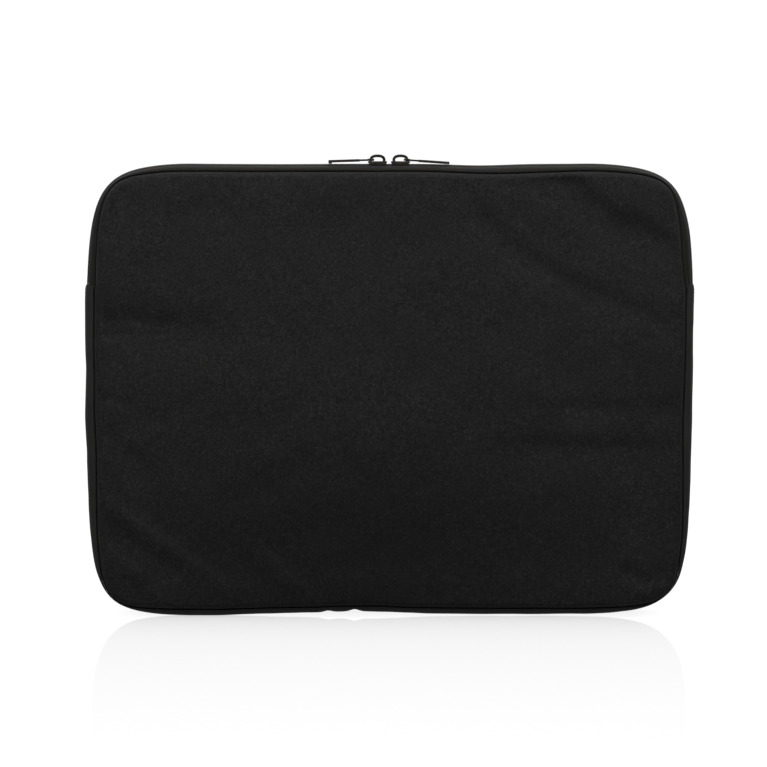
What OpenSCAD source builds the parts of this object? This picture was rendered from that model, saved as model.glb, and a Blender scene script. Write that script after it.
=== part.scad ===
// Padded laptop sleeve with a rounded edge band and a two-slider zip around its mouth.
// Millimetres. The sleeve stands on its bottom edge: X is width, +Y is the back, +Z is up.
// The origin is at the middle of the bottom edge, halfway through the thickness.
// A band profile is drawn flat and swept around the seam: its x is how far it stands out
// from the seam, and its y is depth from the middle plane.

/* [Sleeve] */
// Width over the edge band
sleeve_width = 390; // [340:1:420]
// Height over the edge band
sleeve_height = 290; // [260:1:310]
// Corner radius of the seam between a panel and the band
seam_radius = 42; // [30:1:48]
// How far the band stands out from the seam
band_bulge = 6; // [5.5:0.1:7]
// Rounding of the band's two long edges
band_rounding = 4.5; // [4.45:0.05:4.9]
// Height at which the band ends and the zip starts
flex_height = 212; // [180:1:225]

/* [Layers] */
// Distance of each seam from the middle plane
seam_depth = 11; // [10.5:0.1:12]
// Thickness of the woven cover
cover_thick = 0.9; // [0.6:0.1:0.9]
// Thickness of the foam in the panels
panel_foam_thick = 3.5; // [2.5:0.1:3.5]
// Thickness of the foam in the band
band_foam_thick = 3; // [2:0.1:3]
// Thickness of the lining in the panels
panel_lining_thick = 0.6; // [0.4:0.1:0.6]
// Thickness of the lining in the band
band_lining_thick = 0.5; // [0.3:0.1:0.5]
// Radius of the panel's rolled edge
roll_radius = 6.25; // [6:0.05:6.5]

/* [Zip] */
// Radius of the tape's curve across the zip
tape_radius = 19.5; // [19:0.1:21]
// Thickness of the tape
tape_thick = 0.7; // [0.5:0.1:0.7]
// Width of one half of the coil
coil_width = 2; // [1.8:0.1:2.1]
// Half of the gap between the two halves of the coil
coil_gap = 1; // [1:0.1:1.2]
// Height of the coil's top above the seam
coil_top = 5.8; // [5.4:0.1:5.8]

/* [Sliders] */
// Length of a slider along the zip
slider_length = 12.3; // [11.5:0.1:12.5]
// Width of a slider across the zip
slider_width = 9.6; // [9.4:0.1:10]
// Height of the crown above the slider's top plate
crown_height = 4.4; // [4.2:0.1:4.5]
// Length of a puller from its pin to its tip
puller_length = 28.6; // [26:0.1:32]
// Width of a puller's tab
puller_width = 5.4; // [5.2:0.1:7]
// Angle at which a puller slopes down at rest
puller_slope = 1.2; // [0.8:0.1:1.2]

/* [Hidden] */
$fn = 64;

// The seam's rounded rectangle, seen from the front
seam_width = sleeve_width - 2 * band_bulge;
seam_bottom = band_bulge;
seam_top = sleeve_height - band_bulge;
turn_low = seam_bottom + seam_radius;
turn_high = seam_top - seam_radius;
half_span = seam_width / 2 - seam_radius;

// Half of the gap between the pieces that part at the flex line
flex_gap = 0.2;
// Thickness of the band's turned-in end under the flex line
band_end_thick = 0.8;

// A panel's rolled edge is a quarter ring that comes down to the seam
roll_rise = sqrt(pow(roll_radius, 2) - pow(5, 2));
roll_inset = 5;
roll_centre = seam_depth - roll_rise;
panel_face = roll_centre + roll_radius;
foam_face = panel_face - cover_thick;
lining_face = foam_face - panel_foam_thick;
lining_inside = lining_face - panel_lining_thick;
foam_ease = 0.05;
lining_inset = 1;

// The tape curves between the two seams
tape_centre = -sqrt(pow(tape_radius, 2) - pow(seam_depth, 2));
coil_crown = coil_width / 2;
thread_offset = 3.3;
thread_width = 0.4;
thread_height = 0.3;

// The strip that covers each seam inside, and the thread that holds it
binding_start = -3.2;
binding_width = 3;
binding_thick = 1.5;
binding_outside = lining_inside - 0.1;
binding_thread_start = -1.9;

// The middle of the front half of the zip is left open under the two sliders
slider_window_x = 15.5;
slider_window_y = 5.2;

// Slider: a top and a bottom plate with the coil's channel between them
slider_nose = 1.2;
slider_tail = slider_nose + slider_length;
slider_ease = 0.2;
plate_thick = 1.2;
plate_low = seam_top + coil_top + slider_ease;
plate_high = plate_low + plate_thick;
flange_inside = coil_gap + coil_width + 0.3;
flange_drop = 2.1;
under_plate_high = seam_top + 1.8;
under_plate_thick = 1;
under_plate_width = slider_width - 0.8;
corner_soft = 1.6;
wedge_half = 0.7;

// Crown: the arch over the slider that holds the puller's pin
crown_start = 2.7;
crown_end = 12.2;
crown_half = 1.4;
crown_round = 3;
window_start = 4.1;
window_end = 10.8;
window_height = 3.4;
window_round = 1.6;

// Puller: a pin in the crown's window, two cheeks, a neck and a flat tab
pin_radius = 0.6;
pin_x = window_end - pin_radius - 0.2;
pin_z = plate_high + pin_radius + 0.15;
cheek_inside = crown_half + 0.3;
cheek_thick = 0.9;
cheek_radius = 0.7;
arm_half = 0.45;
loop_reach = 4.6;
tab_start = 6.9;
tab_half = 0.5;
lip_length = 1.7;
lip_drop = 0.5;

// Stitches across each end of the band
stitch_count = 5;
stitch_length = 2;
stitch_pitch = 2.6;
stitch_width = 0.5;
stitch_height = 0.25;
stitch_drop = 2.6;

// Larger than the sleeve in every direction
beyond = 2 * sleeve_width;

// Rounded rectangle of the seam, grown outward by `grow`, in the X and Z directions
module seam_outline(grow) {
    corner = seam_radius + grow;
    tall = seam_top - seam_bottom + 2 * grow;
    square([2 * half_span, tall], center = true);
    square([seam_width + 2 * grow, tall - 2 * corner], center = true);
    for (side = [-1, 1])
        for (end = [-1, 1])
            translate([side * half_span, end * (tall / 2 - corner)])
                circle(r = corner);
}

// Flat layer of a panel, between two depths behind the middle plane
module panel_layer(grow, near, far) {
    translate([0, far, (seam_top + seam_bottom) / 2])
        rotate([90, 0, 0])
            linear_extrude(height = far - near)
                seam_outline(grow);
}

// A profile swept along one side, from one height to another
module sweep_side(low, high) {
    translate([seam_width / 2, 0, low])
        linear_extrude(height = high - low)
            children();
}

// A profile swept round the lower right turn
module sweep_turn() {
    translate([half_span, 0, turn_low])
        rotate([-90, 0, 0])
            rotate_extrude(angle = 90)
                translate([seam_radius, 0])
                    children();
}

// A profile swept along the bottom
module sweep_floor() {
    translate([-half_span, 0, seam_bottom])
        rotate([0, 90, 0])
            linear_extrude(height = 2 * half_span)
                children();
}

// A profile swept from one side, under the bottom and up the other side
module sweep_lower(high) {
    for (side = [0, 1])
        mirror([side, 0, 0]) {
            sweep_side(turn_low, high) children();
            sweep_turn() children();
        }
    sweep_floor() children();
}

// A profile swept from one side, over the top and down the other side
module sweep_upper(low) {
    translate([0, 0, seam_top + seam_bottom])
        mirror([0, 0, 1])
            sweep_lower(seam_top + seam_bottom - low) children();
}

module sweep_round() {
    sweep_lower(flex_height) children();
    sweep_upper(flex_height) children();
}

module front() {
    mirror([0, 1, 0]) children();
}

module below_flex() {
    intersection() {
        children();
        translate([-beyond / 2, -beyond / 2, flex_height - flex_gap - beyond])
            cube(beyond);
    }
}

module above_flex() {
    intersection() {
        children();
        translate([-beyond / 2, -beyond / 2, flex_height + flex_gap])
            cube(beyond);
    }
}

// Quarter ring of a panel's rolled edge
module roll_profile() {
    intersection() {
        translate([-roll_inset, roll_centre])
            difference() {
                circle(r = roll_radius);
                circle(r = roll_radius - cover_thick);
            }
        translate([-roll_inset, roll_centre])
            square([roll_inset, roll_radius]);
    }
}

// Foam under the rolled edge
module roll_foam_profile() {
    intersection() {
        translate([-roll_inset, roll_centre])
            circle(r = roll_radius - cover_thick - foam_ease);
        translate([-roll_inset, lining_face])
            square([roll_inset, panel_foam_thick]);
    }
}

module panel_cover() {
    panel_layer(-roll_inset, foam_face, panel_face);
    sweep_round() roll_profile();
}

module panel_foam() {
    panel_layer(-roll_inset, lining_face, foam_face);
    sweep_round() roll_foam_profile();
}

module panel_lining() {
    panel_layer(-lining_inset, lining_inside, lining_face);
}

// Outline of the band's cross-section, drawn in from its outer face by `inset`
module band_profile(inset) {
    flat_half = seam_depth - band_rounding;
    intersection() {
        union() {
            translate([0, inset - seam_depth])
                square([band_bulge - band_rounding, 2 * (seam_depth - inset)]);
            translate([0, -flat_half])
                square([band_bulge - inset, 2 * flat_half]);
            for (side = [-1, 1])
                translate([band_bulge - band_rounding, side * flat_half])
                    circle(r = band_rounding - inset);
        }
        translate([0, -seam_depth])
            square([band_bulge, 2 * seam_depth]);
    }
}

module band_layer_profile(outer, inner) {
    difference() {
        band_profile(outer);
        band_profile(inner);
    }
}

module gusset_cover() {
    color("#27262a") {
        sweep_lower(flex_height - flex_gap - band_end_thick)
            band_layer_profile(0, cover_thick);
        for (side = [0, 1])
            mirror([side, 0, 0])
                sweep_side(flex_height - flex_gap - band_end_thick, flex_height - flex_gap)
                    band_profile(0);
    }
}

module gusset_foam() {
    color("#3c3c3c")
        sweep_lower(flex_height - flex_gap - band_end_thick)
            band_layer_profile(cover_thick, cover_thick + band_foam_thick);
}

module gusset_lining() {
    inset = cover_thick + band_foam_thick;
    color("#2e2e30")
        sweep_lower(flex_height - flex_gap - band_end_thick)
            band_layer_profile(inset, inset + band_lining_thick);
}

// Part of a band that lies between two depths and outside the seam
module depth_strip(near, far) {
    intersection() {
        children();
        translate([0, near])
            square([beyond, far - near]);
    }
}

module tape_profile() {
    depth_strip(coil_gap, seam_depth)
        translate([tape_centre, 0])
            difference() {
                circle(r = tape_radius, $fn = 128);
                circle(r = tape_radius - tape_thick, $fn = 128);
            }
}

module coil_profile() {
    difference() {
        union() {
            translate([0, coil_gap])
                square([coil_top - coil_crown, coil_width]);
            translate([coil_top - coil_crown, coil_gap + coil_crown])
                circle(r = coil_crown);
        }
        translate([tape_centre, 0])
            circle(r = tape_radius, $fn = 128);
    }
}

module coil_thread_profile() {
    depth_strip(thread_offset, thread_offset + thread_width)
        translate([tape_centre, 0])
            difference() {
                circle(r = tape_radius + thread_height, $fn = 128);
                circle(r = tape_radius, $fn = 128);
            }
}

// The front half of the zip, with the opening under the sliders
module zip_front() {
    difference() {
        front()
            sweep_upper(flex_height + flex_gap) children();
        translate([-slider_window_x, -slider_window_y, turn_high])
            cube([2 * slider_window_x, slider_window_y, beyond]);
    }
}

module binding_profile() {
    translate([binding_start, binding_outside - binding_thick])
        square([binding_width, binding_thick]);
}

module binding_thread_profile() {
    translate([binding_thread_start, binding_outside - binding_thick - thread_height])
        square([thread_width, thread_height]);
}

// A row of stitches across the flat of the band, just under its right end
module topstitch() {
    color("#1c1c1c")
        translate([sleeve_width / 2, 0, flex_height - stitch_drop])
            for (place = [0 : stitch_count - 1])
                translate([0, (place - (stitch_count - 1) / 2) * stitch_pitch - stitch_length / 2, 0])
                    cube([stitch_height, stitch_length, stitch_width]);
}

// Rounded plate in the X and Y directions, from the slider's nose to its tail
module slider_plate(low, thick, width) {
    translate([slider_nose, -width / 2, low])
        linear_extrude(height = thick) {
            translate([corner_soft, 0])
                square([slider_length - 2 * corner_soft, width]);
            translate([0, corner_soft])
                square([slider_length, width - 2 * corner_soft]);
            for (along = [corner_soft, slider_length - corner_soft])
                for (across = [corner_soft, width - corner_soft])
                    translate([along, across])
                        circle(r = corner_soft);
        }
}

module slider_body() {
    color("#4a484c") {
        slider_plate(plate_low, plate_thick, slider_width);
        slider_plate(under_plate_high - under_plate_thick, under_plate_thick, under_plate_width);
        // Side flanges that fold down over the coil
        for (side = [0, 1])
            mirror([0, side, 0])
                translate([slider_nose + corner_soft, flange_inside, plate_low - flange_drop])
                    cube([
                        slider_length - 2 * corner_soft,
                        slider_width / 2 - flange_inside,
                        flange_drop
                    ]);
        // Wedge between the two halves of the coil, which parts them as the slider moves
        translate([0, 0, under_plate_high])
            linear_extrude(height = plate_low - under_plate_high)
                polygon([
                    [slider_nose + 0.5, 0],
                    [slider_nose + 2, wedge_half],
                    [slider_nose + 5, 0],
                    [slider_nose + 2, -wedge_half]
                ]);
    }
}

// Arch outline in the X and Z directions, with its two top corners rounded
module arch_outline(start, end, high, round_top) {
    intersection() {
        union() {
            translate([start, 0])
                square([end - start, high - round_top]);
            translate([start + round_top, 0])
                square([end - start - 2 * round_top, high]);
            for (place = [start + round_top, end - round_top])
                translate([place, high - round_top])
                    circle(r = round_top);
        }
        translate([start, 0])
            square([end - start, high]);
    }
}

module slider_crown() {
    color("#5a585c")
        translate([0, crown_half, plate_high])
            rotate([90, 0, 0])
                linear_extrude(height = 2 * crown_half)
                    difference() {
                        arch_outline(crown_start, crown_end, crown_height, crown_round);
                        arch_outline(window_start, window_end, window_height, window_round);
                    }
}

module puller() {
    half_width = cheek_inside + cheek_thick;
    color("#6a686c")
        translate([pin_x, 0, pin_z])
            rotate([0, puller_slope, 0]) {
                // Pin through the crown's window
                translate([0, half_width, 0])
                    rotate([90, 0, 0])
                        cylinder(r = pin_radius, h = 2 * half_width);
                // Cheeks on both sides of the crown
                for (side = [0, 1])
                    mirror([0, side, 0])
                        translate([0, half_width, 0])
                            rotate([90, 0, 0])
                                cylinder(r = cheek_radius, h = cheek_thick);
                for (side = [0, 1])
                    mirror([0, side, 0])
                        translate([0, cheek_inside, -arm_half])
                            cube([loop_reach, cheek_thick, 2 * arm_half]);
                // Neck
                translate([loop_reach, -half_width, -arm_half])
                    cube([tab_start - loop_reach, 2 * half_width, 2 * arm_half]);
                // Tab with two rounded corners at its tip
                translate([0, 0, -tab_half])
                    linear_extrude(height = 2 * tab_half)
                        tab_outline(tab_start);
                // Lip under the tip
                translate([0, 0, -tab_half - lip_drop])
                    linear_extrude(height = lip_drop)
                        tab_outline(puller_length - lip_length);
            }
}

// The tab's outline from a given place to the tip
module tab_outline(start) {
    tip_round = 1.2;
    translate([start, -puller_width / 2])
        square([puller_length - tip_round - start, puller_width]);
    translate([start, tip_round - puller_width / 2])
        square([puller_length - start, puller_width - 2 * tip_round]);
    for (side = [-1, 1])
        translate([puller_length - tip_round, side * (puller_width / 2 - tip_round)])
            circle(r = tip_round);
}

module left() {
    mirror([1, 0, 0]) children();
}

module back_cover() { color("#1e1e20") panel_cover(); }
module back_foam() { color("#3c3c3c") panel_foam(); }
module back_lining() { color("#2e2e30") panel_lining(); }
module front_cover_lower() { color("#1e1e20") below_flex() front() panel_cover(); }
module front_foam_lower() { color("#3c3c3c") below_flex() front() panel_foam(); }
module front_lining_lower() { color("#2e2e30") below_flex() front() panel_lining(); }
module front_cover_upper() { color("#1e1e20") above_flex() front() panel_cover(); }
module front_foam_upper() { color("#3c3c3c") above_flex() front() panel_foam(); }
module front_lining_upper() { color("#2e2e30") above_flex() front() panel_lining(); }
module zip_tape_back() { color("#242226") sweep_upper(flex_height + flex_gap) tape_profile(); }
module zip_coil_back() { color("#19181a") sweep_upper(flex_height + flex_gap) coil_profile(); }
module coil_thread_back() { color("#2a282c") sweep_upper(flex_height + flex_gap) coil_thread_profile(); }
module zip_tape_front() { color("#242226") zip_front() tape_profile(); }
module zip_coil_front() { color("#19181a") zip_front() coil_profile(); }
module coil_thread_front() { color("#2a282c") zip_front() coil_thread_profile(); }
module seam_binding_back() { color("#222224") sweep_round() binding_profile(); }
module seam_binding_front_lower() { color("#222224") front() sweep_lower(flex_height - flex_gap) binding_profile(); }
module seam_binding_front_upper() { color("#222224") front() sweep_upper(flex_height + flex_gap) binding_profile(); }
module binding_thread_back() { color("#38363a") sweep_round() binding_thread_profile(); }
module binding_thread_front_lower() {
    color("#38363a") front() sweep_lower(flex_height - flex_gap) binding_thread_profile();
}
module binding_thread_front_upper() {
    color("#38363a") front() sweep_upper(flex_height + flex_gap) binding_thread_profile();
}
module topstitch_left() { left() topstitch(); }
module topstitch_right() { topstitch(); }
module slider_left_body() { left() slider_body(); }
module slider_left_crown() { left() slider_crown(); }
module puller_left() { left() puller(); }
module slider_right_body() { slider_body(); }
module slider_right_crown() { slider_crown(); }
module puller_right() { puller(); }

back_cover();
back_foam();
back_lining();
front_cover_lower();
front_foam_lower();
front_lining_lower();
front_cover_upper();
front_foam_upper();
front_lining_upper();
gusset_cover();
gusset_foam();
gusset_lining();
zip_tape_back();
zip_coil_back();
coil_thread_back();
zip_tape_front();
zip_coil_front();
coil_thread_front();
seam_binding_back();
seam_binding_front_lower();
seam_binding_front_upper();
binding_thread_back();
binding_thread_front_lower();
binding_thread_front_upper();
topstitch_left();
topstitch_right();
slider_left_body();
slider_left_crown();
puller_left();
slider_right_body();
slider_right_crown();
puller_right();
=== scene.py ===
"""Looks of the padded laptop sleeve, built round its CAD frame: cover, edge band, zip, sliders and lining.

Shapes are worked out in millimetres and turned into metres when a mesh is made. A ring of stations runs
round the sleeve's edge. Each station has a place on the band's outermost line, the direction that points
outward there, and how far the band stands out from the seam.
"""

import math

import bmesh
import bpy
import numpy as np
from mathutils import Matrix, Vector


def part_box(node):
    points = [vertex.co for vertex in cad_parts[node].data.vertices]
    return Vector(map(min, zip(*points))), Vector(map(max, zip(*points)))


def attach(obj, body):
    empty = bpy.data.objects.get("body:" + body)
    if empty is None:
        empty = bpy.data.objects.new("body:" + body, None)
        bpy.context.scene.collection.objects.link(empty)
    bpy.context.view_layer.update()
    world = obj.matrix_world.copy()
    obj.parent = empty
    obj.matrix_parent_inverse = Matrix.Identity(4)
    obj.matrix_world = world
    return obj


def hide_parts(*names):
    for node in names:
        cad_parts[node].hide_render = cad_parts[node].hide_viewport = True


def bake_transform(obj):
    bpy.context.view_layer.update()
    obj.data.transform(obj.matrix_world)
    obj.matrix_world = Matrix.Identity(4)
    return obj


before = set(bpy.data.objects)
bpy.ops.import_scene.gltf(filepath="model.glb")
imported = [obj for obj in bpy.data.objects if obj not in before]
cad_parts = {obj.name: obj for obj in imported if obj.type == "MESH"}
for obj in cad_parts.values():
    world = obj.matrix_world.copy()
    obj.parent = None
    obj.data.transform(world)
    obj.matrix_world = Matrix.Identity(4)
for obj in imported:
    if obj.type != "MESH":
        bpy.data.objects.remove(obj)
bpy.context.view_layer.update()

MM = 0.001


# ---------------------------------------------------------------- driving sizes, in millimetres

def node_box(node):
    """A CAD node's lowest and highest corners in millimetres."""
    low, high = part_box(node)
    return np.array(low) / MM, np.array(high) / MM


_, BAND_HIGH = node_box("gusset_cover")
_, COVER_HIGH = node_box("back_cover")
_, COIL_HIGH = node_box("zip_coil_back")
SLIDER_LOW, SLIDER_HIGH = node_box("slider_right_body")
CROWN_LOW, CROWN_HIGH = node_box("slider_right_crown")
_, PULLER_HIGH = node_box("puller_right")

# The outline: its half width and height, the height where it is widest, and how far round a turn is relaxed
SPAN = BAND_HIGH[0] - 0.45
TOP = COIL_HIGH[2]
WAIST = 168.0
RELAX = 30.0
# How much the left and the right side lean in above the waist and below it
LEAN = {-1: (6.3, 5.0), 1: (2.2, 4.6)}
# Each turn's side, whether it is at the top, its first angle and its radius
TURNS = ((1, 0, -90, 8.3), (1, 1, 0, 6.7), (-1, 1, 90, 0.5), (-1, 0, 180, 1.2))

# Soft unevenness of the filled edge. Each bump has its middle along the edge, its width and its height.
LEFT_BUMPS = ((126, 13, 0.5), (158, 13, -0.5), (200, 13, 0.3))
RIGHT_BUMPS = ((213, 18, 0.45), (262, 12, -0.45), (22, 8, 0.4))
BOTTOM_BUMPS = ((-16, 34, 1.7), (-60, 26, 0.4))
TOP_BUMPS = ((134, 16, 0.4), (-134, 16, 0.4), (58, 24, -1.0), (-70, 30, -0.2))
# Two small gathers in the bottom of the band
PUCKERS = ((-39, 3.2, 1.0), (-22, 3.4, 1.5))
# The same for how far the band stands out from its seam, at the left, the right and the top
LEFT_FULLNESS = ((202, 14, 0.9), (116, 36, 1.0), (40, 30, -0.6))
RIGHT_FULLNESS = ((128, 26, 1.0), (45, 28, -1.0))
TOP_FULLNESS = ((82, 24, 0.9),)

# The front panel bends above this height.
FLEX = BAND_HIGH[2] + 0.2

# A puller's pin, and its reach from there to its tip
PIN = (10.0, 0, 291.95)
PULL_LENGTH = 28.6

# Depths from the middle plane: a panel's flat face, its foam's inner side, its seam in the groove beside
# the band, and the band's lip
FACE = COVER_HIGH[1]
FOAM_INSIDE = 9.1
GROOVE = 8.8
LIP = 11.15

# How thick a panel's layers are, and the gap that keeps them apart
COVER_THICK = 0.9
LINING_THICK = 0.6
LAYER_GAP = 0.03

WEAVE_PITCH = 0.00058
# Middle and reach of the painted shade on the cover fabric: darker low in the middle of a panel, a little
# darker towards the top
SHADE_CENTRE = (-0.015, 0, 0.03)
SHADE_REACH = (2.8, 0, 4.75)

# How bright the floor is for the light it gives, and for the camera
FLOOR_GLOW = 0.35
FLOOR_SEEN = 1.06

# Stations along the bottom and top, and along each side
ACROSS = 190
UPWARD = 140
RING = 2 * (ACROSS + UPWARD)

# The cloth simulation uses every COARSE-th station, and moves a point by STUFFED_MOST at most.
COARSE = 2
STUFFED_MOST = 2.5
SETTLE_FRAMES = 20


# ---------------------------------------------------------------- small helpers

def smoothstep(value):
    t = np.clip(value, 0, 1)
    return t * t * (3 - 2 * t)


def hump(value, middle, width):
    return np.exp(-(((value - middle) / width) ** 2))


def humps(value, bumps, base=0.0):
    """A base with smooth bumps on it, each given by its middle, width and height."""
    return sum((height * hump(value, middle, width) for middle, width, height in bumps), base)


def unit(ways):
    """Directions, one to a row, each made 1 long."""
    return ways / np.linalg.norm(ways, axis=1, keepdims=True)


def distance_along(points):
    """Distance along a line of points from its first to each."""
    return np.r_[0, np.cumsum(np.linalg.norm(np.diff(points, axis=0), axis=1))]


def fuller(wave, power):
    """A sine or cosine with its rounds made fuller by a power below 1, or sharper by one above 1."""
    return np.sign(wave) * np.abs(wave) ** power


def closed_smooth(values, spacing, width):
    """A closed run of values, blurred by a bell of that width."""
    waves = np.fft.fftfreq(len(values), spacing)
    return np.fft.ifft(np.fft.fft(values) * np.exp(-2 * (np.pi * waves * width) ** 2)).real


def rolling(points, seed, size, octaves=2):
    """Smooth seeded waves over points (N, D), about -1 to 1, with features of that size."""
    rng = np.random.default_rng(seed)
    total = np.zeros(len(points))
    for octave in range(octaves):
        for _ in range(10):
            way = rng.normal(size=points.shape[1])
            way *= 2 * np.pi * 2 ** octave / (size * np.linalg.norm(way)) * rng.uniform(0.6, 1.3)
            total += np.sin(points @ way + rng.uniform(0, 2 * np.pi)) * 0.5 ** octave
    return total / 5


def add_object(name, data):
    piece = bpy.data.objects.new(name, data)
    bpy.context.scene.collection.objects.link(piece)
    return piece


def mesh_object(name, points, faces, uv=None):
    """A smooth-shaded mesh object from points in millimetres."""
    mesh = bpy.data.meshes.new(name)
    mesh.from_pydata((np.asarray(points) * MM).tolist(), [], [list(f) for f in faces])
    mesh.update()
    mesh.polygons.foreach_set("use_smooth", [True] * len(mesh.polygons))
    if uv is not None:
        layer = mesh.uv_layers.new(name="UVMap")
        corner = np.zeros(len(mesh.loops), int)
        mesh.loops.foreach_get("vertex_index", corner)
        layer.data.foreach_set("uv", np.asarray(uv, np.float32)[corner].ravel())
    return add_object(name, mesh)


def face_outward(piece):
    """Turns a closed mesh's faces outward."""
    shape = bmesh.new()
    shape.from_mesh(piece.data)
    bmesh.ops.recalc_face_normals(shape, faces=shape.faces)
    shape.to_mesh(piece.data)
    shape.free()
    return piece


def sharpen(piece, degrees=38):
    """Shades edges that turn more than that as sharp."""
    piece.data.set_sharp_from_angle(angle=math.radians(degrees))
    return piece


def ring_faces(index, closed=False):
    """Faces between rings of points, given as rows of point numbers. An open run is closed at both ends."""
    here = index if closed else index[:-1]
    ahead = np.roll(index, -1, axis=0) if closed else index[1:]
    faces = np.stack([here, np.roll(here, -1, 1), np.roll(ahead, -1, 1), ahead], -1).reshape(-1, 4).tolist()
    if not closed:
        faces += [index[0].tolist(), index[-1][::-1].tolist()]
    return faces


# ---------------------------------------------------------------- the outline and its stations

def corner_run(side, end, start, radius, points=40):
    """One turn of a plain rounded box, as (x, z) points."""
    angle = np.radians(start + np.linspace(0, 90, points))
    middle_z = TOP - radius if end else radius
    return np.stack([side * (SPAN - radius) + radius * np.cos(angle), middle_z + radius * np.sin(angle)], 1)


def soft_outline(dense=2400):
    """The band's outermost line as a closed run of (x, z): a rounded box, relaxed and a little uneven."""
    turns = [corner_run(*turn) for turn in TURNS]
    corners = np.vstack(turns + [turns[0][:1]])
    along = distance_along(corners)
    even = np.linspace(0, along[-1], dense, endpoint=False)
    x = np.interp(even, along, corners[:, 0])
    z = np.interp(even, along, corners[:, 1])
    # the sides lean in a little towards the top and the bottom
    up = np.where(z > WAIST, (z - WAIST) / (TOP - WAIST), (z - WAIST) / WAIST)
    lean = np.where(x < 0, *(np.where(z > WAIST, *LEAN[side]) for side in (-1, 1)))
    x -= lean * up ** 2 * x / SPAN
    spacing = along[-1] / dense
    x = closed_smooth(x, spacing, RELAX)
    z = closed_smooth(z, spacing, RELAX)
    left = smoothstep((-150 - x) / 20)
    right = smoothstep((x - 150) / 20)
    x -= left * humps(z, LEFT_BUMPS)
    x += right * humps(z, RIGHT_BUMPS)
    # the band is a little fuller than the zip where they meet
    side = (left + right) * np.sign(x)
    x += side * np.where(z < FLEX, 0.3 * hump(z, FLEX, 22), -0.15 * hump(z, FLEX, 16))
    # the bottom edge stands on its two ends, and the top edge dips beside the sliders
    low = smoothstep((30 - z) / 20)
    z += low * humps(x, BOTTOM_BUMPS, smoothstep((x + 120) / 40))
    z += low * humps(x, PUCKERS)
    high = smoothstep((z - 255) / 20)
    z += high * humps(x, TOP_BUMPS)
    z -= z.min()
    return np.stack([x, z], 1)


def station_ring():
    """The RING stations (x, z), starting at the lower left turn, and their outward directions."""
    line = soft_outline()
    reach = line - [0, TOP / 2]
    picks = [int(np.argmax(reach @ np.array(way))) for way in ((-1, -1), (1, -1), (1, 1), (-1, 1))]
    count = len(line)
    places = []
    for first, last, cells in zip(picks, picks[1:] + picks[:1], (ACROSS, UPWARD, ACROSS, UPWARD)):
        run = (last - first) % count
        index = (first + np.arange(run + 1)) % count
        part = line[index]
        along = distance_along(part)
        even = np.linspace(0, along[-1], cells, endpoint=False)
        places.append(np.stack([np.interp(even, along, part[:, 0]), np.interp(even, along, part[:, 1])], 1))
    ring = np.vstack(places)
    ahead = unit(np.roll(ring, -2, axis=0) - np.roll(ring, 2, axis=0))
    outward = np.stack([ahead[:, 1], -ahead[:, 0]], 1)
    for axis in (0, 1):
        outward[:, axis] = closed_smooth(outward[:, axis], 2.0, 4.0)
    return ring, unit(outward)


EDGE, OUT = station_ring()


def band_bulge():
    """How far the band stands out from the seam at each station. Round the turns it is tight."""
    across, up = OUT[:, 0], OUT[:, 1]
    x, z = EDGE[:, 0], EDGE[:, 1]
    left = humps(z, LEFT_FULLNESS, 6.1)
    right = humps(z, RIGHT_FULLNESS, 5.7 + 1.6 * smoothstep((z - 205) / 25))
    top = humps(x, TOP_FULLNESS, 5.0)
    bulge = np.where(across < 0, left, right) * across ** 2 + np.where(up > 0, top, 4.6) * up ** 2
    turn = (2 * np.abs(across * up)) ** 1.3
    bulge -= turn * np.where(up > 0, 2.6, 4.1)
    bulge += 0.22 * rolling(EDGE, 5, 60)
    bulge = closed_smooth(bulge, 2.0, 5.0) - np.where(z < 30, humps(x, PUCKERS), 0)
    return np.maximum(bulge, 0.75)


BULGE = band_bulge()
SEAM = EDGE - OUT * BULGE[:, None]
ALONG = distance_along(SEAM)
EVERY = np.arange(RING)


def stations_where(test):
    """The run of stations that pass a test, in order along the edge."""
    passed = np.flatnonzero(test)
    gap = np.flatnonzero(np.diff(passed) > 1)
    return np.roll(passed, -(gap[0] + 1)) if len(gap) else passed


# The band's stations and the zip's. They overlap a little, where the band's ends cover the tape.
BELOW = stations_where(EDGE[:, 1] < FLEX + 1.0)
ABOVE = stations_where(EDGE[:, 1] > FLEX - 3.5)


# ---------------------------------------------------------------- sweeps round the edge

def sweep(name, stations, out, deep, closed=False):
    """A closed profile of (out, deep) millimetres at each station, swept round the edge.

    out and deep are (stations, points). deep is depth from the middle plane, towards +Y."""
    base, way = SEAM[stations], OUT[stations]
    points = np.empty((*out.shape, 3))
    points[..., 0] = base[:, None, 0] + way[:, None, 0] * out
    points[..., 1] = deep
    points[..., 2] = base[:, None, 1] + way[:, None, 1] * out
    faces = ring_faces(np.arange(out.size).reshape(out.shape), closed)
    run = ALONG[stations][:, None] + np.zeros_like(out)
    steps = np.hypot(np.diff(out, axis=1), np.diff(deep, axis=1))
    girth = np.concatenate([np.zeros((len(out), 1)), np.cumsum(steps, axis=1)], axis=1)
    uv = np.stack([run, girth], -1).reshape(-1, 2)
    return face_outward(mesh_object(name, points.reshape(-1, 3), faces, uv))


def loop_profile(upper, lower):
    """One closed profile from an outer line and an inner line, each (out, deep)."""
    return (
        np.concatenate([upper[0], lower[0][:, ::-1]], axis=1),
        np.concatenate([upper[1], lower[1][:, ::-1]], axis=1),
    )


# ---------------------------------------------------------------- panels

# Distances in from the seam of the rings round a panel's patch
STRIP = np.array([0, 0.2, 0.5, 0.95, 1.5, 2.2, 3.0, 3.9, 5.0, 6.3, 8.0, 10.0])


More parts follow.
